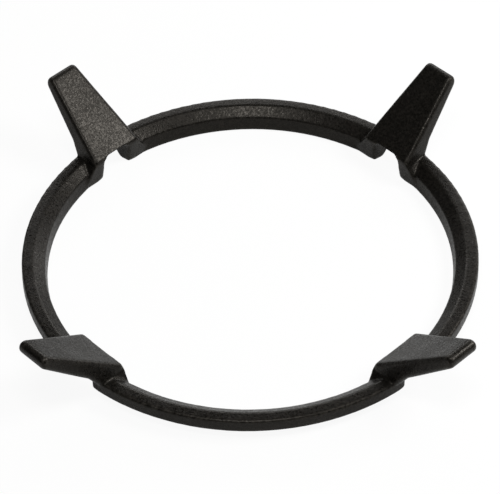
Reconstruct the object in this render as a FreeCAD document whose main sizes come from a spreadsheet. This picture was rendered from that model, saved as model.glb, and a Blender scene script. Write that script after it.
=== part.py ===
import FreeCAD, Part
import math
import os

import Sketcher

os.makedirs("parts", exist_ok=True)
doc = FreeCAD.newDocument("wok_ring_model")

# Driving sizes of the casting, in millimetres and degrees.
driving = [
    ("ring_diameter", 220.0, "across the upper outer edge of the ring"),
    ("ring_height", 11.9, "floor to the flat top of the ring"),
    ("ring_top_flat", 5.5, "width of the flat top"),
    ("inner_slope_run", 5.4, "sloping inner shoulder, measured inwards"),
    ("inner_slope_drop", 4.0, "sloping inner shoulder, measured down"),
    ("inner_wall_draft", 0.9, "how far the inner wall steps in at the floor"),
    ("belly_height", 5.7, "floor to the widest line of the outer wall"),
    ("belly_overhang", 0.3, "how far that line stands out past the top edge"),
    ("outer_undercut", 5.5, "how far the floor edge lies inside the top edge"),
    ("ring_edge_round", 0.9, "rounding of the ring's long edges"),
    ("lug_count", 4, "number of lugs"),
    ("seat_overhang", 3.2, "how far a seat's inner corner stands inside the ring's wall"),
    ("seat_height", 13.8, "floor to the inner corner of a seat"),
    ("seat_slope", 38.0, "rise of a seat above level"),
    ("seat_width", 29.0, "width of a seat at its inner corner"),
    ("seat_taper", 7.4, "angle that each flank turns in towards the tip"),
    ("tip_overhang", 26.5, "how far the tip of a lug stands outside the ring"),
    ("tip_round", 2.8, "rounding of the tip's upper and lower edges"),
    ("flank_draft", 8.5, "spread of a lug's flanks below its seat"),
    ("seat_lip_round", 2.5, "rounding of a seat's inner edge"),
    ("foot_lean", 1.8, "overhang of a seat's inner corner past its foot"),
    ("underside_slope", 43.0, "rise of a lug's underside above level"),
    ("underside_drop", 7.8, "seat to underside at the tip, measured upright"),
    ("underside_bend", 5.7, "height above the ring where the underside bends"),
    ("underside_bend_radius", 8.0, "radius of that bend"),
    ("lug_edge_round", 2.0, "rounding of a lug's edges"),
    ("slot_width", 15.0, "width of the slot under a lug at its roof"),
    ("slot_height", 14.2, "floor to the roof of the slot"),
    ("slot_corner", 3.0, "radius of the two corners of the slot's roof"),
    ("slot_spread", 0.7, "how far each slot wall stands out at the floor"),
    ("casting_allowance", 4.0, "stock left round a lug before it is trimmed"),
]

# Sizes that follow from them.
derived = [
    ("ring_radius", "=ring_diameter / 2"),
    ("shoulder_radius", "=ring_radius - ring_top_flat"),
    ("wall_top_radius", "=shoulder_radius - inner_slope_run"),
    ("wall_top_height", "=ring_height - inner_slope_drop"),
    ("wall_foot_radius", "=wall_top_radius - inner_wall_draft"),
    ("belly_radius", "=ring_radius + belly_overhang"),
    ("undercut_radius", "=ring_radius - outer_undercut"),
    ("seat_radius", "=wall_foot_radius - seat_overhang"),
    ("tip_reach", "=ring_radius + tip_overhang"),
    ("foot_radius", "=seat_radius + foot_lean"),
    ("seat_run", "=tip_reach - seat_radius"),
    ("tip_top_height", "=seat_height + seat_run * tan(seat_slope)"),
    ("tip_low_height", "=tip_top_height - underside_drop"),
    ("bend_height", "=ring_height + underside_bend"),
    ("bend_reach", "=tip_reach - (tip_low_height - bend_height) / tan(underside_slope)"),
    ("heel_radius", "=undercut_radius - 2 * ring_edge_round"),
    ("seat_length", "=seat_run / cos(seat_slope)"),
    ("lug_depth", "=seat_height * cos(seat_slope) + (heel_radius - seat_radius) * sin(seat_slope)"),
    ("trim_depth", "=lug_depth + casting_allowance"),
    ("trim_back", "=-(seat_height + casting_allowance)"),
    ("trim_front", "=seat_length + casting_allowance"),
    ("trim_back_half", "=seat_width / 2 - trim_back * tan(seat_taper)"),
    ("trim_front_half", "=seat_width / 2 - trim_front * tan(seat_taper)"),
    ("blank_width", "=2 * (trim_back_half + trim_depth * tan(flank_draft))"),
    ("trim_side", "=blank_width / 2 + casting_allowance"),
    ("trim_forward", "=sin(seat_slope)"),
    ("trim_sideways", "=tan(flank_draft)"),
    ("trim_down", "=-cos(seat_slope)"),
    ("slot_half", "=slot_width / 2"),
    ("slot_floor_half", "=slot_half + slot_spread"),
    ("slot_start", "=seat_radius - casting_allowance"),
]

sheet = doc.addObject("Spreadsheet::Sheet", "sizes")
cells = [(name, str(value), note) for name, value, note in driving]
cells += [(name, formula, "") for name, formula in derived]
for row, (name, content, note) in enumerate(cells, start=1):
    sheet.set("A%d" % row, name)
    sheet.set("B%d" % row, content)
    sheet.set("C%d" % row, note)
    sheet.setAlias("B%d" % row, name)
doc.recompute()


def value(name):
    """The number in a named cell, or its negative for a name with a minus."""
    if name.startswith("-"):
        return -float(sheet.get(name[1:]))
    return float(sheet.get(name))


def bound(name):
    """The expression that ties a dimension to a named cell."""
    if name.startswith("-"):
        return "-sizes." + name[1:]
    return "sizes." + name


def place_point(sketch, geometry, position, corner, label):
    """Hold a sketch point at the two named sizes of its corner."""
    across, up = corner[:2]
    if across:
        sketch.addConstraint(Sketcher.Constraint("DistanceX", -1, 1, geometry, position, value(across)))
        sketch.renameConstraint(sketch.ConstraintCount - 1, label + "_across")
        sketch.setExpression("Constraints." + label + "_across", bound(across))
    else:
        sketch.addConstraint(Sketcher.Constraint("PointOnObject", geometry, position, -2))
    if up:
        sketch.addConstraint(Sketcher.Constraint("DistanceY", -1, 1, geometry, position, value(up)))
        sketch.renameConstraint(sketch.ConstraintCount - 1, label + "_up")
        sketch.setExpression("Constraints." + label + "_up", bound(up))
    else:
        sketch.addConstraint(Sketcher.Constraint("PointOnObject", geometry, position, -1))


def draw_outline(sketch, corners, prefix="corner"):
    """Draw a closed outline through named corners, some of them rounded.

    A corner is the names of its two coordinates and of its rounding radius,
    with None for a coordinate of nought and for a sharp corner.
    """
    count = len(corners)
    spots = [FreeCAD.Vector(value(c[0]) if c[0] else 0, value(c[1]) if c[1] else 0, 0) for c in corners]
    arrive, leave, arcs = [], [], []
    for i, corner in enumerate(corners):
        spot = spots[i]
        before = (spots[i - 1] - spot).normalize()
        after = (spots[(i + 1) % count] - spot).normalize()
        if not corner[2]:
            arrive.append(spot)
            leave.append(spot)
            arcs.append(None)
            continue
        radius = value(corner[2])
        half_angle = before.getAngle(after) / 2
        start = spot + before * (radius / math.tan(half_angle))
        end = spot + after * (radius / math.tan(half_angle))
        centre = spot + (before + after).normalize() * (radius / math.sin(half_angle))
        arrive.append(start)
        leave.append(end)
        arcs.append((centre, radius, start, end, before.cross(after).z < 0))
    lines = []
    for i in range(count):
        line = Part.LineSegment(leave[i], arrive[(i + 1) % count])
        lines.append(sketch.addGeometry(line, False))
    for i, corner in enumerate(corners):
        label = "%s_%d" % (prefix, i + 1)
        if arcs[i] is None:
            sketch.addConstraint(Sketcher.Constraint("Coincident", lines[i - 1], 2, lines[i], 1))
            place_point(sketch, lines[i], 1, corner, label)
            continue
        centre, radius, start, end, left_turn = arcs[i]
        first, last = (start, end) if left_turn else (end, start)
        first_angle = math.atan2(first.y - centre.y, first.x - centre.x)
        last_angle = math.atan2(last.y - centre.y, last.x - centre.x)
        circle = Part.Circle(centre, FreeCAD.Vector(0, 0, 1), radius)
        arc = sketch.addGeometry(Part.ArcOfCircle(circle, first_angle, last_angle), False)
        arc_start, arc_end = (1, 2) if left_turn else (2, 1)
        sketch.addConstraint(Sketcher.Constraint("Tangent", lines[i - 1], 2, arc, arc_start))
        sketch.addConstraint(Sketcher.Constraint("Tangent", arc, arc_end, lines[i], 1))
        sketch.addConstraint(Sketcher.Constraint("Radius", arc, radius))
        sketch.renameConstraint(sketch.ConstraintCount - 1, label + "_round")
        sketch.setExpression("Constraints." + label + "_round", bound(corner[2]))
        point = sketch.addGeometry(Part.Point(spots[i]), True)
        sketch.addConstraint(Sketcher.Constraint("PointOnObject", point, 1, lines[i - 1]))
        sketch.addConstraint(Sketcher.Constraint("PointOnObject", point, 1, lines[i]))
        place_point(sketch, point, 1, corner, label)


def origin_part(body, role):
    """The body's own origin plane or axis with the given role."""
    return [part for part in body.Origin.OriginFeatures if part.Role == role][0]


def new_sketch(body, name, role):
    """A sketch on one of the body's own origin planes."""
    sketch = body.newObject("Sketcher::SketchObject", name)
    sketch.AttachmentSupport = [(origin_part(body, role), "")]
    sketch.MapMode = "FlatFace"
    return sketch


def check_cut(cut, before):
    """Stop if a cut has taken nothing away from the shape before it."""
    if cut.Shape.Volume >= before.Shape.Volume:
        raise RuntimeError("%s cuts nothing" % cut.Name)


body = doc.addObject("PartDesign::Body", "wok_ring")
body.Label = "wok_ring"

# One lug as a slab with the lug's side profile, standing on the X axis.
side = new_sketch(body, "lug_side", "XZ_Plane")
draw_outline(side, [
    ("foot_radius", None, None),
    ("heel_radius", None, None),
    ("bend_reach", "bend_height", "underside_bend_radius"),
    ("tip_reach", "tip_low_height", "tip_round"),
    ("tip_reach", "tip_top_height", "tip_round"),
    ("seat_radius", "seat_height", "seat_lip_round"),
])
slab = body.newObject("PartDesign::Pad", "lug_slab")
slab.Profile = side
slab.SideType = "Symmetric"
slab.setExpression("Length", "sizes.blank_width")
doc.recompute()

# Trim one flank to the tapering seat, drafted outwards below it, then the other.
flank = new_sketch(body, "lug_flank", "XY_Plane")
flank.AttachmentOffset = FreeCAD.Placement(
    FreeCAD.Vector(value("seat_radius"), 0, value("seat_height")),
    FreeCAD.Rotation(FreeCAD.Vector(0, -1, 0), value("seat_slope")),
)
flank.setExpression("AttachmentOffset.Base.x", "sizes.seat_radius")
flank.setExpression("AttachmentOffset.Base.z", "sizes.seat_height")
flank.setExpression("AttachmentOffset.Rotation.Angle", "sizes.seat_slope")
draw_outline(flank, [
    ("trim_back", "trim_back_half", None),
    ("trim_front", "trim_front_half", None),
    ("trim_front", "trim_side", None),
    ("trim_back", "trim_side", None),
])
trim = body.newObject("PartDesign::Pocket", "lug_trim")
trim.Profile = flank
trim.setExpression("Length", "sizes.trim_depth")
trim.UseCustomVector = True
trim.Direction = FreeCAD.Vector(value("trim_forward"), value("trim_sideways"), value("trim_down"))
trim.setExpression("Direction.x", "sizes.trim_forward")
trim.setExpression("Direction.y", "sizes.trim_sideways")
trim.setExpression("Direction.z", "sizes.trim_down")
doc.recompute()
check_cut(trim, slab)
trims = body.newObject("PartDesign::Mirrored", "lug_trims")
trims.Originals = [trim]
trims.MirrorPlane = (origin_part(body, "XZ_Plane"), [""])
body.Tip = trims
doc.recompute()
check_cut(trims, trim)


def edge_names(shape, wanted):
    """Names of the edges of a shape for which a test holds."""
    return ["Edge%d" % n for n, edge in enumerate(shape.Edges, start=1) if wanted(edge)]


def on_flank(edge):
    """True for an edge that runs along one flank, clear of the floor."""
    sides = {vertex.Y > 0 for vertex in edge.Vertexes}
    return len(sides) == 1 and edge.BoundBox.ZMax > value("slot_corner")


rounding = body.newObject("PartDesign::Fillet", "lug_rounding")
rounding.Base = (trims, edge_names(trims.Shape, on_flank))
rounding.setExpression("Radius", "sizes.lug_edge_round")
doc.recompute()

# The same lug at equal steps round the axis.
lugs = body.newObject("PartDesign::PolarPattern", "lugs")
lugs.TransformMode = "Whole shape"
lugs.Axis = (origin_part(body, "Z_Axis"), [""])
lugs.setExpression("Occurrences", "sizes.lug_count")
body.Tip = lugs
doc.recompute()

# The ring is one six-sided section turned about the axis.
section = new_sketch(body, "ring_section", "XZ_Plane")
draw_outline(section, [
    ("wall_foot_radius", None, "ring_edge_round"),
    ("undercut_radius", None, "ring_edge_round"),
    ("belly_radius", "belly_height", None),
    ("ring_radius", "ring_height", "ring_edge_round"),
    ("shoulder_radius", "ring_height", "ring_edge_round"),
    ("wall_top_radius", "wall_top_height", "ring_edge_round"),
])
ring = body.newObject("PartDesign::Revolution", "ring")
ring.Profile = section
ring.ReferenceAxis = (section, ["V_Axis"])
ring.Angle = 360
doc.recompute()

# A slot runs out under each lug, for a finger of the pan support.
mouth = new_sketch(body, "slot_mouth", "YZ_Plane")
mouth.AttachmentOffset = FreeCAD.Placement(
    FreeCAD.Vector(0, 0, value("slot_start")), FreeCAD.Rotation())
mouth.setExpression("AttachmentOffset.Base.z", "sizes.slot_start")
draw_outline(mouth, [
    ("-slot_floor_half", None, None),
    ("slot_floor_half", None, None),
    ("slot_half", "slot_height", "slot_corner"),
    ("-slot_half", "slot_height", "slot_corner"),
])
slot = body.newObject("PartDesign::Pocket", "slot")
slot.Profile = mouth
slot.Type = "ThroughAll"
slot.Reversed = True
doc.recompute()
check_cut(slot, ring)
slots = body.newObject("PartDesign::PolarPattern", "slots")
slots.Originals = [slot]
slots.Axis = (origin_part(body, "Z_Axis"), [""])
slots.setExpression("Occurrences", "sizes.lug_count")
body.Tip = slots
doc.recompute()
check_cut(slots, slot)

body.Placement = FreeCAD.Placement(FreeCAD.Vector(0, 0, 0), FreeCAD.Rotation())
doc.recompute()

# Every feature has to have built before the casting is written out.
for item in doc.Objects:
    if "Invalid" in item.State or "Error" in item.State:
        raise RuntimeError("%s did not build" % item.Name)
if body.Shape.isNull() or not body.Shape.isValid():
    raise RuntimeError("the casting is not a valid solid")
body.Shape.exportStep("parts/wok_ring.step")
print("wok_ring: %.0f mm3" % body.Shape.Volume)
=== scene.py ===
import math
import bpy
import numpy
from mathutils import Matrix, Vector


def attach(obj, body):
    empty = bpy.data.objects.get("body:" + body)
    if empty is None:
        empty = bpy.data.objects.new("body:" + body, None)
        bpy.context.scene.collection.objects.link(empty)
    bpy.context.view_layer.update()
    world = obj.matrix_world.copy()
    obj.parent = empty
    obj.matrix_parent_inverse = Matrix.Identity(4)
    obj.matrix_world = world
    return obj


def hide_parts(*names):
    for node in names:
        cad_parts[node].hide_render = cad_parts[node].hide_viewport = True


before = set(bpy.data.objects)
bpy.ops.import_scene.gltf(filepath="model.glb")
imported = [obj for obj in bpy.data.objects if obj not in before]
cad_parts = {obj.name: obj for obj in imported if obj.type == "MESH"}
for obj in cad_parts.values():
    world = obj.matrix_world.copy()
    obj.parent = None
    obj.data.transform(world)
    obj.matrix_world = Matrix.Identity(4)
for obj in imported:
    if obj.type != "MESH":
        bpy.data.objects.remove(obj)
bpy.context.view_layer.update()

print("frame loaded")

# sizes in metres
casting = {
    "weldGap": 0.000002,       # joins the corners that the solid's faces share
    "skinSize": 0.00050,       # mesh size of the cast skin
    "keepShare": 0.44,         # share of the triangles kept at the end
    "softening": 0.5,          # strength of one smoothing pass
    "skinPasses": 3,           # takes the steps off the fresh skin
    "edgePasses": 1,           # softens every edge a little
    "groupSteps": 20,          # levels of strength in a vertex group
    "cornerPasses": 50,        # fillets the inside corners
    "cornerBend": 0.10,        # bend of the skin, in mesh sizes, that marks an inside corner
    "cornerStart": 0.4,        # share of that bend that is left alone
    "cornerSpreads": 7,        # rings of neighbours that a fillet takes in
    "cornerGain": 1.5,         # how much of its ring a neighbour takes over
    "cornerFade": 0.96,        # what is left of that in each further ring
    "mouthPasses": 55,         # rounds both ends of the slot walls
    "mouthReach": 0.0048,      # how far that rounding spreads
    "mouthGain": 1.3,          # above 1 for full strength near the edge
    "mouthEnds": (0.0964, 0.1075),          # out from the axis
    "mouthSide": 0.0079,       # across the lug
    "mouthTop": 0.0115,        # up from the floor
    "mouthFade": 0.002,        # height over which the rounding ends above that
    "swellSize": 0.010,        # size of the uneven patches of the skin
    "swellDepth": 0.00014,
    "skinGrowth": 0.00004,     # makes good what the softening takes off
    "floorFade": 0.002,        # height over which swell and growth begin
    "wearBend": 0.07,          # bend of the skin, in mesh sizes, at which an edge is worn bare
    "wearPasses": 8,           # spreads the wear to both sides of an edge
    "wearMost": 0.7,
    "wearPower": 3,            # narrows the worn line to the middle of an edge
}

# a lug's foot spreads into the ring; each corner is out from the axis, across the lug and up
rootFlare = {
    "innerFoot": (0.0967, 0.0232, 0.0000),
    "innerTop": (0.0952, 0.0143, 0.0126),
    "outerFoot": (0.1040, 0.0200, 0.0000),
    "outerTop": (0.1040, 0.0129, 0.0150),
    "core": 0.0100,            # its hidden side, inside the lug
    "sameCorner": 0.000001,    # finds a corner by its place
}


def deselectAll():
    bpy.ops.object.select_all(action="DESELECT")


def makeActive(piece):
    deselectAll()
    piece.select_set(True)
    bpy.context.view_layer.objects.active = piece


def addModifier(piece, kind, settings):
    modifier = piece.modifiers.new(kind.lower(), kind)
    for name, setting in settings.items():
        setattr(modifier, name, setting)
    makeActive(piece)
    bpy.ops.object.modifier_apply(modifier=modifier.name)


def smoothSkin(piece, passes, group=""):
    addModifier(piece, "SMOOTH", {
        "factor": casting["softening"], "iterations": passes, "vertex_group": group})


def copyOfNode(nodeName, pieceName):
    piece = bpy.data.objects.new(pieceName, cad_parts[nodeName].data.copy())
    bpy.context.scene.collection.objects.link(piece)
    makeActive(piece)
    bpy.ops.object.mode_set(mode="EDIT")
    bpy.ops.mesh.select_all(action="SELECT")
    bpy.ops.mesh.remove_doubles(threshold=casting["weldGap"])
    bpy.ops.object.mode_set(mode="OBJECT")
    return piece


def readVertices(piece, kind):
    rows = numpy.empty(len(piece.data.vertices) * 3)
    piece.data.vertices.foreach_get(kind, rows)
    return rows.reshape(-1, 3)


def writeGroup(piece, name, weights):
    group = piece.vertex_groups.new(name=name)
    steps = numpy.round(weights * casting["groupSteps"]).astype(int)
    for step in range(1, casting["groupSteps"] + 1):
        members = numpy.nonzero(steps == step)[0]
        if len(members):
            group.add(members.tolist(), step / casting["groupSteps"], "REPLACE")


def meanOfNeighbours(piece, values):
    ends = numpy.empty(len(piece.data.edges) * 2, dtype=int)
    piece.data.edges.foreach_get("vertices", ends)
    ends = ends.reshape(-1, 2)
    count = len(piece.data.vertices)
    links = numpy.bincount(ends.ravel(), minlength=count)
    columns = []
    for column in values.reshape(count, -1).T:
        total = numpy.bincount(ends[:, 0], column[ends[:, 1]], count)
        total += numpy.bincount(ends[:, 1], column[ends[:, 0]], count)
        columns.append(total / numpy.maximum(links, 1))
    return numpy.array(columns).T.reshape(values.shape)


def hollowOfSkin(piece):
    # how far the mean of the neighbours stands off the skin
    places = readVertices(piece, "co")
    off = meanOfNeighbours(piece, places) - places
    return (off * readVertices(piece, "normal")).sum(axis=1)


def insideCorners(piece):
    full = casting["cornerBend"] * casting["skinSize"]
    weights = numpy.clip(hollowOfSkin(piece) / full - casting["cornerStart"], 0, 1)
    for ring in range(casting["cornerSpreads"]):
        wider = numpy.clip(casting["cornerGain"] * meanOfNeighbours(piece, weights), 0, 1)
        weights = numpy.maximum(weights, wider * casting["cornerFade"])
    return weights


def markWornEdges(piece):
    # stored with the mesh for the iron to read
    wear = numpy.clip(-hollowOfSkin(piece) / (casting["wearBend"] * casting["skinSize"]), 0, 1)
    for ring in range(casting["wearPasses"]):
        wear = meanOfNeighbours(piece, wear)
    wear = numpy.minimum(wear, casting["wearMost"]) ** casting["wearPower"]
    stored = piece.data.attributes.new("wear", "FLOAT", "POINT")
    stored.data.foreach_set("value", wear.astype(numpy.float32))


def slotMouths(piece):
    # strongest at the upright edges at both ends of each slot wall
    places = readVertices(piece, "co")
    flat = numpy.abs(places[:, :2])
    alongLug = flat.max(axis=1)
    acrossLug = flat.min(axis=1)
    aside = acrossLug - casting["mouthSide"]
    gap = numpy.minimum(*[numpy.hypot(alongLug - out, aside) for out in casting["mouthEnds"]])
    above = numpy.clip((places[:, 2] - casting["mouthTop"]) / casting["mouthFade"], 0, 1)
    near = numpy.clip(casting["mouthGain"] * (1 - gap / casting["mouthReach"]), 0, 1)
    return near * (1 - above)


def moveCorner(piece, corner, place):
    # puts one corner of a block at its place
    bpy.ops.mesh.select_all(action="DESELECT")
    bpy.ops.object.mode_set(mode="OBJECT")
    for vertex in piece.data.vertices:
        vertex.select = (vertex.co - Vector(corner)).length < rootFlare["sameCorner"]
    bpy.ops.object.mode_set(mode="EDIT")
    bpy.ops.transform.translate(value=Vector(place) - Vector(corner))


def addRootFlares():
    deselectAll()
    side = rootFlare["core"]
    bpy.ops.mesh.primitive_cube_add(size=side, location=(0, 0, 0))
    flare = bpy.context.object
    flare.name = "rootFlare"
    bpy.ops.object.mode_set(mode="EDIT")
    bpy.ops.mesh.select_mode(type="VERT")
    half = side / 2
    for name, upSign in {"Foot": -1, "Top": 1}.items():
        for end, outSign in {"inner": -1, "outer": 1}.items():
            out, across, up = rootFlare[end + name]
            moveCorner(flare, (outSign * half, half, upSign * half), (out, across, up))
            moveCorner(flare, (outSign * half, -half, upSign * half), (out, side, up))
    bpy.ops.object.mode_set(mode="OBJECT")
    addModifier(flare, "MIRROR", {"use_axis": (False, True, False), "use_mirror_merge": False})
    flares = [flare]
    for turn in range(3):
        bpy.ops.object.duplicate()
        bpy.ops.transform.rotate(
            value=math.radians(90), orient_axis="Z", center_override=(0, 0, 0))
        bpy.ops.object.transform_apply(location=True, rotation=True, scale=True)
        flares.append(bpy.context.object)
    return flares


def dressCasting():
    piece = copyOfNode("wok_ring", "castRing")
    flares = addRootFlares()
    makeActive(piece)
    for flare in flares:
        flare.select_set(True)
    bpy.ops.object.join()
    addModifier(piece, "REMESH", {
        "mode": "VOXEL", "voxel_size": casting["skinSize"], "use_smooth_shade": True})
    smoothSkin(piece, casting["skinPasses"])
    writeGroup(piece, "insideCorners", insideCorners(piece))
    writeGroup(piece, "slotMouths", slotMouths(piece))
    smoothSkin(piece, casting["cornerPasses"], "insideCorners")
    smoothSkin(piece, casting["mouthPasses"], "slotMouths")
    smoothSkin(piece, casting["edgePasses"])
    swell = bpy.data.textures.new("castSwell", "CLOUDS")
    swell.noise_scale = casting["swellSize"]
    height = readVertices(piece, "co")[:, 2]
    writeGroup(piece, "offTheFloor", numpy.clip(height / casting["floorFade"], 0, 1))
    addModifier(piece, "DISPLACE", {
        "texture": swell, "strength": casting["swellDepth"],
        "mid_level": 0.5, "vertex_group": "offTheFloor"})
    addModifier(piece, "DISPLACE", {
        "strength": casting["skinGrowth"], "mid_level": 0.0, "vertex_group": "offTheFloor"})
    piece.vertex_groups.clear()
    markWornEdges(piece)
    addModifier(piece, "DECIMATE", {"ratio": casting["keepShare"]})
    makeActive(piece)
    bpy.ops.object.shade_smooth()
    return piece


iron = {
    "dark": (0.0026, 0.0023, 0.0019, 1),
    "light": (0.010, 0.0088, 0.0072, 1),
    "worn": (0.055, 0.050, 0.043, 1),   # edges that are rubbed bare
    "gloss": 0.17,             # weak, as on a matt black casting
    "tint": (1.0, 0.93, 0.83, 1),       # warmth of the reflections
    "pebbleSize": 0.0016,      # metres from one pebble to the next
    "pebbleDepth": 0.00020,
    "pebbleBump": 0.5,
    "pebbleNoise": (2.0, 0.6),          # detail and roughness, as in the other noises
    "grainSize": 0.0007,
    "grainDepth": 0.00012,
    "grainBump": 0.55,
    "grainNoise": (1.0, 0.5),
    "fleckShare": 0.9,         # size of the light flecks beside a pebble's
    "fleckNoise": (4.0, 0.65),
    "fleckRange": (0.42, 0.66),         # part of a noise that runs from none to all
    "rubbedNoise": (3.0, 0.5),
    "rubbedRange": (0.42, 0.62),
    "speckleShare": 1.4,       # size of the glints beside a grain's
    "speckleNoise": (2.0, 0.6),
    "speckleRange": (0.36, 0.60),
    "smoothest": 0.21,         # on the glints between the grains
    "roughest": 0.42,
    "patchSize": 0.016,
    "patchNoise": (2.0, 0.5),
    "patchRange": (0.35, 0.65),
    "patchRough": 0.05,        # how much rougher the dull patches are
}


def makeNode(tree, kind, settings=None, inputs=None):
    node = tree.nodes.new(kind)
    for name, setting in (settings or {}).items():
        setattr(node, name, setting)
    for name, setting in (inputs or {}).items():
        node.inputs[name].default_value = setting
    return node


def makeIron():
    material = bpy.data.materials.new("blackCastIron")
    material.use_nodes = True
    tree = material.node_tree
    link = tree.links.new
    shader = tree.nodes["Principled BSDF"]
    shader.inputs["Specular IOR Level"].default_value = iron["gloss"]
    shader.inputs["Specular Tint"].default_value = iron["tint"]
    coordinates = makeNode(tree, "ShaderNodeTexCoord").outputs["Object"]

    def noise(size, character):
        detail, rough = character
        node = makeNode(tree, "ShaderNodeTexNoise", None, {
            "Scale": 1 / size, "Detail": detail, "Roughness": rough})
        link(coordinates, node.inputs["Vector"])
        return node.outputs["Fac"]

    def spread(source, span, toLow=0.0, toHigh=1.0):
        low, high = span
        node = makeNode(tree, "ShaderNodeMapRange", None, {
            "From Min": low, "From Max": high, "To Min": toLow, "To Max": toHigh})
        link(source, node.inputs["Value"])
        return node.outputs["Result"]

    def bump(height, strength, depth):
        node = makeNode(tree, "ShaderNodeBump", None, {"Strength": strength, "Distance": depth})
        link(height, node.inputs["Height"])
        return node

    pebble = noise(iron["pebbleSize"], iron["pebbleNoise"])
    grain = noise(iron["grainSize"], iron["grainNoise"])
    patch = noise(iron["patchSize"], iron["patchNoise"])

    # the colour varies in small light flecks
    fleckSize = iron["pebbleSize"] * iron["fleckShare"]
    fleck = spread(noise(fleckSize, iron["fleckNoise"]), iron["fleckRange"])
    colour = makeNode(tree, "ShaderNodeMix", {"data_type": "RGBA"})
    colour.inputs["A"].default_value = iron["dark"]
    colour.inputs["B"].default_value = iron["light"]
    link(fleck, colour.inputs["Factor"])

    # edges rubbed bare here and there
    wear = makeNode(tree, "ShaderNodeAttribute", {"attribute_name": "wear"}).outputs["Fac"]
    rubbed = makeNode(tree, "ShaderNodeMath", {"operation": "MULTIPLY"})
    link(wear, rubbed.inputs[0])
    streak = noise(iron["pebbleSize"], iron["rubbedNoise"])
    link(spread(streak, iron["rubbedRange"]), rubbed.inputs[1])
    bare = makeNode(tree, "ShaderNodeMix", {"data_type": "RGBA"})
    bare.inputs["B"].default_value = iron["worn"]
    link(rubbed.outputs[0], bare.inputs["Factor"])
    link(colour.outputs["Result"], bare.inputs["A"])
    link(bare.outputs["Result"], shader.inputs["Base Color"])

    # glints between the grains and duller patches
    speckle = spread(
        noise(iron["grainSize"] * iron["speckleShare"], iron["speckleNoise"]),
        iron["speckleRange"], iron["smoothest"], iron["roughest"])
    rough = makeNode(tree, "ShaderNodeMath", {"operation": "ADD"})
    link(speckle, rough.inputs[0])
    link(spread(patch, iron["patchRange"], 0, iron["patchRough"]), rough.inputs[1])
    link(rough.outputs[0], shader.inputs["Roughness"])

    coarse = bump(pebble, iron["pebbleBump"], iron["pebbleDepth"])
    fine = bump(grain, iron["grainBump"], iron["grainDepth"])
    link(coarse.outputs["Normal"], fine.inputs["Normal"])
    link(fine.outputs["Normal"], shader.inputs["Normal"])
    return material


castRing = dressCasting()
castRing.data.materials.clear()
castRing.data.materials.append(makeIron())
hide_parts("wok_ring")
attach(castRing, "root")
print("casting dressed", len(castRing.data.polygons), "faces")

studio = {
    "cameraTurn": 46.24,       # degrees round from the front
    "cameraRise": 45.43,
    "cameraRoll": -1.05,
    "cameraAway": 1.1148,
    "clipStart": 0.05,
    "sensor": 36,
    "lens": 165.12,
    "shift": (-0.00055, 0.03773),
    "aimHeight": 0.015,        # the lamps point at this height on the ring's axis
    "world": (0.06, 0.06, 0.06, 1),
    "backdrop": (0.98, 0.98, 0.98, 1),
    "backdropInGloss": 0.05,   # share of the backdrop in the object's reflections
    "floorSize": 24,
    "floorColour": (0.86, 0.86, 0.85, 1),
    "floorRough": 0.9,
    "floorGloss": 0.1,
    "floorGlow": 0.93,         # share of the floor that shows plain white
    "floorGlowInGloss": 0.25,  # the same in the object's reflections
}

# place and size in metres and power in watts; right, away and up as the camera sees them
lamps = {
    "sideBox": {"place": (0.72, -0.01, 0.72), "size": (0.38, 0.38), "power": 7.5},
    "frontBox": {"place": (0.00, -0.33, 0.92), "size": (0.33, 0.18), "power": 3.8},
    "backBox": {"place": (0.05, 0.85, 0.44), "size": (1.1, 0.33), "power": 4.5},
    "rimBox": {"place": (0.68, 0.70, 0.22), "size": (0.4, 0.2), "power": 1.2},
}


def fromCamera(place):
    turn = Matrix.Rotation(math.radians(studio["cameraTurn"]), 4, "Z")
    return turn @ Vector(place)


def aimAtRing(thing):
    look = Vector((0, 0, studio["aimHeight"])) - thing.location
    thing.rotation_euler = look.to_track_quat("-Z", "Y").to_euler()


def makeLamps():
    for name, lamp in lamps.items():
        light = bpy.data.lights.new(name, "AREA")
        light.shape = "RECTANGLE"
        light.size, light.size_y = lamp["size"]
        light.energy = lamp["power"]
        thing = bpy.data.objects.new(name, light)
        thing.location = fromCamera(lamp["place"])
        aimAtRing(thing)
        bpy.context.scene.collection.objects.link(thing)


def shareSeen(tree, straight, mirrored):
    # one share for what the camera sees, also through glass, and one for reflections
    rays = makeNode(tree, "ShaderNodeLightPath")
    seen = makeNode(tree, "ShaderNodeMath", {"operation": "MAXIMUM"})
    tree.links.new(rays.outputs["Is Camera Ray"], seen.inputs[0])
    tree.links.new(rays.outputs["Is Transmission Ray"], seen.inputs[1])
    parts = []
    for source, part in ((seen.outputs[0], straight), (rays.outputs["Is Glossy Ray"], mirrored)):
        scaled = makeNode(tree, "ShaderNodeMath", {"operation": "MULTIPLY"})
        tree.links.new(source, scaled.inputs[0])
        scaled.inputs[1].default_value = part
        parts.append(scaled.outputs[0])
    share = makeNode(tree, "ShaderNodeMath", {"operation": "MAXIMUM"})
    tree.links.new(parts[0], share.inputs[0])
    tree.links.new(parts[1], share.inputs[1])
    return share.outputs[0]


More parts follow.
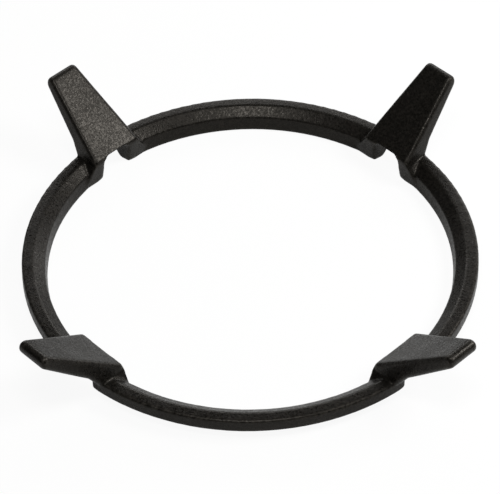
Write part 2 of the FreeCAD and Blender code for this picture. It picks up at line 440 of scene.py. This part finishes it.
def makeFloor():
    deselectAll()
    bpy.ops.mesh.primitive_plane_add(size=studio["floorSize"], location=(0, 0, 0))
    floor = bpy.context.object
    floor.name = "floor"
    material = bpy.data.materials.new("paleFloor")
    material.use_nodes = True
    tree = material.node_tree
    link = tree.links.new
    matt = tree.nodes["Principled BSDF"]
    matt.inputs["Base Color"].default_value = studio["floorColour"]
    matt.inputs["Roughness"].default_value = studio["floorRough"]
    matt.inputs["Specular IOR Level"].default_value = studio["floorGloss"]
    glow = makeNode(tree, "ShaderNodeEmission", None, {"Color": (1, 1, 1, 1), "Strength": 1.0})
    share = shareSeen(tree, studio["floorGlow"], studio["floorGlowInGloss"])
    mixed = makeNode(tree, "ShaderNodeMixShader")
    link(share, mixed.inputs[0])
    link(matt.outputs[0], mixed.inputs[1])
    link(glow.outputs[0], mixed.inputs[2])
    link(mixed.outputs[0], tree.nodes["Material Output"].inputs["Surface"])
    floor.data.materials.append(material)


def makeWorld():
    world = bpy.data.worlds.new("studioWorld")
    world.use_nodes = True
    tree = world.node_tree
    light = tree.nodes["Background"]
    light.inputs["Color"].default_value = studio["world"]
    backdrop = makeNode(tree, "ShaderNodeBackground", None, {"Color": studio["backdrop"]})
    mixed = makeNode(tree, "ShaderNodeMixShader")
    tree.links.new(shareSeen(tree, 1.0, studio["backdropInGloss"]), mixed.inputs[0])
    tree.links.new(light.outputs[0], mixed.inputs[1])
    tree.links.new(backdrop.outputs[0], mixed.inputs[2])
    tree.links.new(mixed.outputs[0], tree.nodes["World Output"].inputs["Surface"])
    bpy.context.scene.world = world


def makeCamera():
    data = bpy.data.cameras.new("photoCamera")
    data.sensor_width = studio["sensor"]
    data.lens = studio["lens"]
    data.shift_x, data.shift_y = studio["shift"]
    data.clip_start = studio["clipStart"]
    camera = bpy.data.objects.new("photoCamera", data)
    rise = math.radians(studio["cameraRise"])
    away = studio["cameraAway"]
    camera.location = fromCamera((0, -math.cos(rise) * away, math.sin(rise) * away))
    look = (-camera.location).to_track_quat("-Z", "Y").to_matrix().to_4x4()
    roll = Matrix.Rotation(math.radians(studio["cameraRoll"]), 4, "Z")
    camera.rotation_euler = (look @ roll).to_euler()
    bpy.context.scene.collection.objects.link(camera)
    bpy.context.scene.camera = camera


makeFloor()
makeWorld()
makeLamps()
makeCamera()
bpy.context.scene.view_settings.view_transform = "Standard"
print("studio ready")
